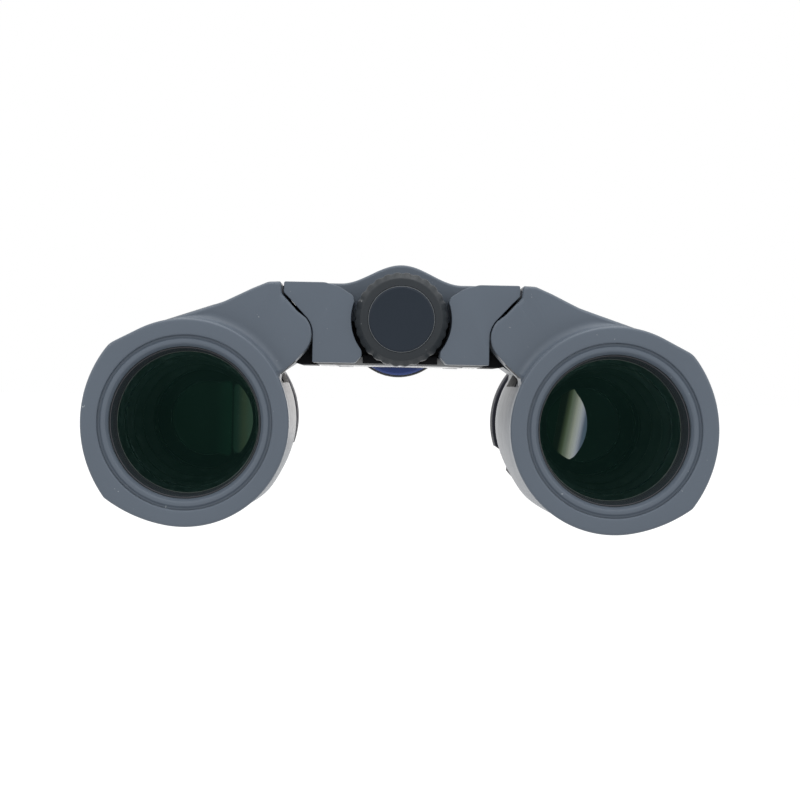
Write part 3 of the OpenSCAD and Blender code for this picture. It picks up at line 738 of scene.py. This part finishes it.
def lenses(side, name):
    """All the lenses of one barrel, each with smooth domes."""
    barrel, carriage = name + "_barrel", name + "_focus_carriage"
    rows = [
        ("objective_front_lens", 13.1, 10.5, 11.7, 1.15, -0.95, barrel, LENS),
        ("objective_rear_lens", 13.1, 14.5, 15.2, 0.75, -0.6, barrel, INNER_LENS),
        ("focus_lens", 10.5, 57.2, 58.6, -0.5, -0.5, carriage, INNER_LENS),
        ("field_lens", 10.5, 88.6, 90.6, 1.2, 1.0, barrel, INNER_LENS),
        ("eye_lens", 9.55, 98.6, 100.4, 0.9, 1.1, barrel, EYE_LENS),
    ]
    for part, radius, front, back, front_rise, back_rise, body, paint in rows:
        shape = turned(lens_profile(radius, front, back, front_rise, back_rise), BARREL, 128, closed=False)
        build(f"{name}_{part}_glass", *shape, body, "coated_glass", paint, [f"{name}_{part}"], side)


# ---------------------------------------------------------------- eyepiece end

EYECUP_R = 17.0
BAND_R = 15.7
CORE_R = 15.22
NOTCHES = 4


def notched(start, cutter, back):
    """Shape function for grip notches round an eyecup, each left by a round cutter."""
    reach = BAND_R + cutter

    def shape(radius, depth, angles):
        share = 360 / NOTCHES
        off = np.radians((np.degrees(angles) - start + share / 2) % share - share / 2)
        aside = reach * np.sin(off)
        cut = reach * np.cos(off) - np.sqrt(np.maximum(0, cutter**2 - aside**2))
        cut = np.where(np.abs(aside) < cutter, np.maximum(cut, BAND_R), EYECUP_R)
        return np.where((radius > BAND_R) & (depth < back), np.minimum(radius, cut), radius)
    return shape


def eyecup_pieces(side, name):
    """The twist-up eyecup's rubber, and the hinge cap at the arm's rear."""
    front, back = depths("right_eyecup_rubber")
    band = back - 4.0
    skin = filleted([
        (CORE_R, front + 0.1, 0.1), (EYECUP_R - 0.05, front + 0.05, 0.4), (EYECUP_R, front + 3, 0),
        (EYECUP_R, front + 6, 0), (EYECUP_R, band - 0.05, 0.45), (BAND_R, band, 0.25),
        (BAND_R, back - 2.6, 0.15), (BAND_R - 0.3, back - 2.3, 0.15), (BAND_R, back - 2.0, 0.15),
        (BAND_R - 0.05, back, 1.0), (10.3, back, 0.9), (10.2, back - 1.4, 0.2), (CORE_R, back - 1.4, 0)
    ], 6)
    build(name + "_eyecup_skin", *turned(skin, BARREL, 360, notched(208, 4.7, band + 0.2)),
          name + "_eyecup", "eyecup_rubber", EYECUP, [name + "_eyecup_rubber"], side)
    low, high = depths("right_hinge_cap")
    lid = filleted([
        (0, high + 0.25, 0), (1.1, high + 0.25, 0), (1.3, high, 0.1),
        (2.9, high, 0.35), (3.25, low, 0), (0, low, 0)
    ], 4)
    build(name + "_hinge_plug", *turned(lid, HINGE, 64, closed=False), name + "_barrel", "black_frame", BLACK,
          [name + "_hinge_cap"], side)


# ---------------------------------------------------------------- prism faces seen through the objectives, glowing with painted light


PATCH_THICK = 0.12
PRISM_FACE_R = 7.3


def glow_patch(name, outline, depth, body, paint, side):
    """A flat patch on a prism's front face, from an outline about the barrel axis, that glows with painted
    light.
    """
    placed = [(BARREL_X + x, z) for x, z in outline]
    return build(name, *slab(placed, depth, depth + PATCH_THICK), body, "prism_glass", paint, (), side)


PRISM_FACE = depths("right_half_prism")[0]
CAGE_FACE = depths("right_prism_cage")[0]
right_crescent_outline = filleted(
    [(-1.9, 7.3, 0.2)] + [(*p, 0) for p in arc((-8.9, 0.2), 9.75, 40, -43, 20)]
    + [(-3.2, -7.3, 0.3), (-6.3, -6.2, 0.4), (-4.4, 5.9, 0.4)], 4
)
# These patches glow though they are no lamps: painted light for the cream crescent in the right barrel and
# the green in both.
CRESCENT_PAINTED_GLOW = glowing("crescent_painted_glow", [
    (0.0, (0.003, 0.003, 0.002)), (0.16, (0.055, 0.053, 0.032)), (0.24, (0.12, 0.11, 0.085)),
    (0.33, (0.165, 0.14, 0.12)), (0.41, (0.25, 0.2, 0.185)), (0.48, (0.37, 0.285, 0.27)),
    (0.65, (0.46, 0.35, 0.4)), (0.76, (0.36, 0.28, 0.37)), (0.88, (0.11, 0.1, 0.16)),
    (1.0, (0.08, 0.085, 0.13))
], 1.0, BARREL_X - 4.2, BARREL_X + 0.85, 0.18)
GREEN_PAINTED_GLOW = glowing("green_band_painted_glow", [
    (0.0, (0.001, 0.0035, 0.002)), (0.46, (0.004, 0.016, 0.01)), (0.61, (0.017, 0.03, 0.024)),
    (0.76, (0.055, 0.06, 0.038)), (0.91, (0.06, 0.08, 0.06))
], 0.6, 1.0 - BARREL_X, 9.0 - BARREL_X)
DARK_PAINTED_GLOW = glowing("dark_disc_painted_glow", [
    (0.0, (0.001, 0.0035, 0.002)), (1.0, (0.0015, 0.0025, 0.0025))
], 0.8, BARREL_X - 7, BARREL_X + 6)
left_bands = [
    filleted([(low, -reach, 0.8), (high, -6.9, 0.8), (high, 6.9, 0.8), (low, reach, 0.8)], 4)
    for low, high, reach in ((-4.6, -1.4, 7.6), (-9.8, -5.0, 6.8))
]

# ---------------------------------------------------------------- both barrels

for side, name in SIDES:
    body = name + "_barrel"
    build(name + "_armour_skin", *armour, body, "armour", ARMOUR, [name + "_armour"], side, 42)
    build(name + "_grip_strip", *grip, body, "grip_rubber", GRIP, [name + "_grip_panel"], side, 50)
    # A black pad under the arm: painted shadow.
    build(name + "_painted_shadow", *shadow_pad, body, "black_frame", BLACK, (), side, 50)
    plate(name + "_arm_strip", under_strip_outline(), LOBE_END - 9.45, LOBE_END - 5.0, 0.02,
          body, BLACK, (), side)
    objective_pieces(side, name)
    lenses(side, name)
    eyecup_pieces(side, name)

circle_face = arc((0, 0), PRISM_FACE_R, 0, 350, 35)
# Glowing prism patches: painted light.
glow_patch("right_prism_painted_glow", right_crescent_outline, PRISM_FACE - 0.3, "right_barrel", CRESCENT_PAINTED_GLOW, 1)
glow_patch("right_prism_disc_glow", circle_face, PRISM_FACE - 0.16, "right_barrel", DARK_PAINTED_GLOW, 1)
glow_patch("left_prism_disc_glow", circle_face, PRISM_FACE - 0.16, "left_barrel", DARK_PAINTED_GLOW, -1)
for k, band in enumerate(left_bands):
    glow_patch(f"left_prism_glow_band_{k + 1}", band, CAGE_FACE - 0.2, "left_barrel", GREEN_PAINTED_GLOW, -1)

# ---------------------------------------------------------------- bridge

BOTTOM = float(span("bridge_base_plate")[0][2]) - AXIS_Z
PLATE_TOP = float(span("bridge_base_plate")[1][2]) - AXIS_Z
SHOULDER = 25.4
HUMP_TOP = float(span("bridge_housing")[1][2]) - AXIS_Z
HUMP_HALF = 11.0
HOUSING_FRONT, HOUSING_BACK = depths("bridge_housing")
COVER_FRONT = depths("right_front_cover")[0]
CHASSIS_TOP = 18.6
BRIDGE_HALF = float(span("bridge_base_plate")[1][0])
COVER_LOW = float(span("right_front_cover")[0][2]) - AXIS_Z


def hump(x):
    """The housing's top line: flat shoulders and a smooth rise over the spindle."""
    return SHOULDER + (HUMP_TOP - SHOULDER) * (0.5 + 0.5 * math.cos(math.pi * min(1, abs(x) / HUMP_HALF)))


def housing_outline():
    """The housing seen from the front: the hump, the shoulders and the slants beside the hinges."""
    hx, hz = HINGE
    right = [
        (hx + 0.25, SHOULDER, 0.7), (hx + 0.55, hz + 7.3, 0.5), (hx - 0.6, hz + 6, 0.8),
        (hx - 2.9, hz + 3.9, 0.8), (BRIDGE_HALF, CHASSIS_TOP, 0)
    ]
    left = [(-x, z, r) for x, z, r in reversed(right)]
    top = [(x, hump(x), 0) for x in np.linspace(-HUMP_HALF - 1, HUMP_HALF + 1, 49)]
    return filleted(top + right + left, 5)


def cover_outline():
    """A front cover, hollowed for the hinge lobe on one side and the focus wheel on the other."""
    hx, hz = HINGE
    high = SHOULDER - 0.3
    return filleted(
        [(8.0, COVER_LOW, 0.8), (hx - 4.55, COVER_LOW, 0.15), (hx - 4.55, hz - 0.8, 0)]
        + [(*p, 0) for p in arc(HINGE, 4.52, 184, 133, 14)]
        + [(hx - 0.6, hz + 6, 0.5), (hx + 0.7, hz + 7.3, 0.6), (hx + 0.65, high, 0.3), (13.6, high, 3.0),
           (11.0, high - 0.75, 3.0), (8.55, high - 2.3, 1.0)]
        + [(*p, 0) for p in arc(WHEEL, 8.86, 20, -38, 22)] + [(6.85, COVER_LOW + 1.35, 0.8)], 6
    )


plate("housing_shell", housing_outline(), HOUSING_FRONT, HOUSING_BACK, 0.8,
      "bridge", HOUSING, ["bridge_housing"])
for side, name in SIDES:
    plate(name + "_cover_shell", cover_outline(), COVER_FRONT, HOUSING_FRONT - 0.05, 0.3,
          "bridge", HOUSING, [name + "_front_cover"], side)
base = filleted([
    (-BRIDGE_HALF, BOTTOM, 0.5), (BRIDGE_HALF, BOTTOM, 0.5),
    (BRIDGE_HALF, PLATE_TOP, 0.15), (-BRIDGE_HALF, PLATE_TOP, 0.15)
], 5)
plate("base_plate_shell", base, HOUSING_FRONT, HOUSING_BACK, 0.3,
      "bridge", UNDERSIDE, ["bridge_base_plate"])
SEAL_HALF = 6.7
seal = filleted([
    (-SEAL_HALF, BOTTOM + 0.35, 0.1), (SEAL_HALF, BOTTOM + 0.35, 0.1),
    (SEAL_HALF, PLATE_TOP + 0.3, 0.1), (-SEAL_HALF, PLATE_TOP + 0.3, 0.1)
], 3)
plate("bridge_front_seal", seal, HOUSING_FRONT - 0.4, HOUSING_FRONT + 0.02, 0.08,
      "bridge", BLACK)


def hexed(radius, _depth, angles):
    """Shape function that gives a screw's socket six flats."""
    flat = 1 / np.cos((angles + math.pi / 6) % (math.pi / 3) - math.pi / 6)
    return np.where(radius < 0.95, radius * flat * 0.93, radius)


def screw_piece(name, centre, rise, head_r, head_t):
    """A small screw that faces down, with a chamfered head and a hex socket."""
    profile = filleted([
        (0, 0.55, 0), (0.85, 0.5, 0), (0.9, 0.0, 0.05), (head_r - 0.25, 0, 0.08), (head_r, 0.25, 0.1),
        (head_r, head_t, 0), (0.8, head_t, 0), (0.8, 4.0, 0.2), (0, 4.0, 0)
    ], 3, closed=False)
    verts, faces = turned(profile, (0, 0), 72, hexed, closed=False)
    placed = np.stack([centre[0] + verts[:, 0], centre[1] + verts[:, 2], rise + verts[:, 1]], axis=-1)
    return build(name, placed, faces, "bridge", "steel", STEEL)


for i, place in enumerate(((-10, 18.7), (-10, 48), (10, 18.7), (10, 48))):
    screw_piece(f"base_screw_{i + 1}", place, BOTTOM - 0.12, 1.6, 0.7)


def slotted(radius, _depth, angles):
    """Shape function that turns the innermost circle into a coin slot."""
    narrow = 0.55 / np.maximum(0.16, np.abs(np.sin(angles)))
    return np.where(radius < 3.3, np.minimum(radius, narrow), radius)


head_front, head_back, screw_tip = 57.0, 58.0, 52.2
slot_profile = filleted([
    (0, head_back - 0.5, 0), (3.2, head_back - 0.5, 0), (3.21, head_back, 0),
    (4.2, head_back, 0.25), (4.55, head_front + 0.5, 0.1), (4.55, head_front, 0),
    (1.2, head_front, 0), (1.2, screw_tip, 0), (0, screw_tip, 0)
], 3, closed=False)
build("diopter_screw", *turned(slot_profile, WHEEL, 144, slotted, closed=False),
      "bridge", "steel", STEEL, ["bridge_screws"])

# ---------------------------------------------------------------- focus wheel

FOCUS_R = float(span("focus_wheel_grip")[1][0])
FOCUS_SCALLOPS = 28
CAP_R = float(span("focus_wheel_cap")[1][0])
focus_front, focus_back = depths("focus_wheel_grip")


def scalloped(count, deep, start_r, front, back, run=1.6):
    """Shape function for rounded flutes round a wheel's rim, fading at both ends."""

    def shape(radius, depth, angles):
        wave = (0.5 + 0.5 * np.cos(angles * count)) ** 1.5
        fade = np.clip((depth - front) / run + 0.25, 0, 1) * np.clip((back - depth) / run + 0.3, 0, 1)
        outside = np.clip((radius - start_r) / 0.8, 0, 1)
        return radius - deep * wave * fade * outside
    return shape


grip_profile = filleted([
    (CAP_R + 0.03, focus_front + 0.2, 0.05), (CAP_R + 0.2, focus_front, 0.1), (7.2, focus_front + 0.25, 0.5),
    (FOCUS_R - 0.02, focus_front + 1.8, 0.8), (FOCUS_R, focus_front + 3.0, 0),
    (FOCUS_R, focus_front + 4.5, 0), (FOCUS_R, focus_front + 6.0, 0), (FOCUS_R, focus_front + 7.5, 0),
    (FOCUS_R, focus_back - 1.3, 0.5), (FOCUS_R - 0.5, focus_back, 0.4), (6.5, focus_back, 0),
    (CAP_R + 0.05, focus_front + 2, 0)
], 6)
focus_flutes = scalloped(FOCUS_SCALLOPS, 0.2, 7.4, focus_front, focus_back)
build("focus_grip", *turned(grip_profile, WHEEL, 480, focus_flutes),
      "focus_wheel", "wheel_rubber", WHEEL_RUBBER, ["focus_wheel_grip"])
cap_front = depths("focus_wheel_cap")[0]
cap_profile = filleted([
    (0, cap_front + 0.12, 0), (4.0, cap_front + 0.1, 0), (CAP_R - 0.3, cap_front + 0.03, 0.1),
    (CAP_R, cap_front + 0.2, 0.08), (CAP_R, focus_front + 1.0, 0), (0, focus_front + 1.0, 0)
], 5, closed=False)
build("focus_cap", *turned(cap_profile, WHEEL, 128, closed=False),
      "focus_wheel", "wheel_cap", WHEEL_CAP, ["focus_wheel_cap"])
# Pale bead at the cap's edge: painted highlight.
cap_line = [
    (CAP_R + 0.02 + 0.06 * math.cos(a), focus_front + 0.06 + 0.07 * math.sin(a))
    for a in np.linspace(0, TURN, 10, endpoint=False)
]
build("focus_cap_glint", *turned(cap_line, WHEEL, 128), "focus_wheel", "wheel_cap", CAP_GLINT)

# ---------------------------------------------------------------- dioptre wheel

DIOPTER_R = 10.0
DIOPTER_BORE = 3.45
DIOPTER_KNURLS = 40
ring_front, ring_back = depths("diopter_ring")
knurl_front, knurl_back = depths("diopter_grip")
disc = filleted([
    (DIOPTER_BORE, ring_front + 0.2, 0.1), (3.7, ring_front, 0.1), (9.2, ring_front, 0.3),
    (DIOPTER_R - 0.4, ring_front + 0.4, 0.15), (DIOPTER_R - 0.4, ring_back, 0), (DIOPTER_BORE, ring_back, 0)
], 5)
build("diopter_disc", *turned(disc, WHEEL, 128), "diopter_wheel", "diopter_blue", BLUE, ["diopter_ring"])
knurl = filleted([
    (DIOPTER_BORE, knurl_front, 0), (DIOPTER_R - 0.25, knurl_front, 0.15),
    (DIOPTER_R, knurl_front + 0.5, 0.15), (DIOPTER_R, knurl_front + 2, 0),
    (DIOPTER_R, knurl_front + 4, 0), (DIOPTER_R, knurl_back - 0.8, 0.3),
    (DIOPTER_R - 0.7, knurl_back, 0.3), (5.0, knurl_back, 0.2), (4.8, 56.9, 0), (DIOPTER_BORE, 56.9, 0)
], 5)
knurl_teeth = scalloped(DIOPTER_KNURLS, 0.35, 8.9, knurl_front + 1.4, knurl_back, 1.0)
build("diopter_knurl", *turned(knurl, WHEEL, 480, knurl_teeth),
      "diopter_wheel", "wheel_rubber", WHEEL_RUBBER, ["diopter_grip"])

# ---------------------------------------------------------------- CAD nodes that stay

KEPT = {
    "black_frame": BLACK, "steel": STEEL, "brass": BRASS, "prism_glass": PRISM, "coated_glass": INNER_LENS,
    "housing": HOUSING, "armour": ARMOUR, "wheel_rubber": WHEEL_RUBBER, "wheel_cap": WHEEL_CAP,
    "diopter_blue": BLUE, "eyecup_rubber": EYECUP, "grip_rubber": GRIP,
}
# The frames and tubes inside a barrel are seen through its lenses and have a black of their own.
for part in frame["record"]["subparts"]:
    node = frame["nodes"][part["node"]]
    inside = part["material_slot"] == "black_frame" and part["node"].startswith(("left_", "right_"))
    paint = INNER_BLACK if inside else KEPT[part["material_slot"]]
    for material_slot in node.material_slots:
        material_slot.material = paint

# ---------------------------------------------------------------- studio

world = bpy.data.worlds.new("studio")
bpy.context.scene.world = world
world.use_nodes = True
world.node_tree.nodes["Background"].inputs["Color"].default_value = (1.0, 1.0, 1.0, 1)
world.node_tree.nodes["Background"].inputs["Strength"].default_value = 1.0

# The floor lies low enough to clear the barrels when they are folded down.
FLOOR_DROP = 12.0
bpy.ops.mesh.primitive_plane_add(size=12, location=(0, 0, -FLOOR_DROP * MM))
floor = bpy.context.object
floor.name = "studio_floor"
floor_paint = Nodes("floor_white")
glow = floor_paint.ramp(floor_paint.noise(3, 2), [(0.3, (1.0, 1.0, 1.0)), (0.7, (0.995, 0.995, 0.995))])
floor_paint.link(glow, floor_paint.shader.inputs["Emission Color"])
floor_paint.set(Base_Color=(0.04, 0.04, 0.04, 1), Emission_Strength=1.0, Roughness=0.9)
floor.data.materials.append(floor_paint.material)


def softbox(name, place, aim, size, power, colour=(1, 1, 1)):
    """A square area light that faces a point."""
    lamp = bpy.data.lights.new(name, "AREA")
    lamp.size = size
    lamp.energy = power
    lamp.color = colour
    holder = bpy.data.objects.new(name, lamp)
    holder.location = place
    holder.rotation_euler = (Vector(aim) - Vector(place)).to_track_quat("-Z", "Y").to_euler()
    bpy.context.scene.collection.objects.link(holder)


softbox("top_light", (0.05, -0.1, 0.9), (0, 0, 0.02), 0.9, 5.2)
softbox("left_light", (-0.7, -0.5, 0.5), (0, 0, 0.02), 0.5, 1.6)
softbox("right_light", (0.7, -0.35, 0.45), (0, 0, 0.02), 0.5, 1.3)
softbox("inboard_light", (0.16, 0.62, 0.03), (-0.02, 0, 0.018), 0.3, 0.24, (1.0, 0.94, 0.9))

# The camera looks along the barrels. Its place, roll, lens and shift were fitted to the photo.
CAMERA_DISTANCE = 430.0
CAMERA_X, CAMERA_RISE = -4.95, 7.0
CAMERA_ROLL = math.radians(1.118)
camera_data = bpy.data.cameras.new("camera")
camera_data.sensor_width = 36
camera_data.lens = 111.28
camera_data.shift_x = 0.035
camera_data.shift_y = -0.0175
camera_data.clip_start = 0.01
camera_data.clip_end = 50
camera = bpy.data.objects.new("camera", camera_data)
bpy.context.scene.collection.objects.link(camera)
right_way = Vector((math.cos(CAMERA_ROLL), 0, math.sin(CAMERA_ROLL)))
up_way = Vector((-math.sin(CAMERA_ROLL), 0, math.cos(CAMERA_ROLL)))
back_way = Vector((0, -1, 0))
turn = Matrix((right_way, up_way, back_way)).transposed().to_4x4()
stand = Vector((CAMERA_X, FRONT_Y - CAMERA_DISTANCE, AXIS_Z + CAMERA_RISE)) * MM
camera.matrix_world = Matrix.Translation(stand) @ turn
bpy.context.scene.camera = camera
bpy.context.scene.view_settings.view_transform = "Standard"

bpy.context.view_layer.update()
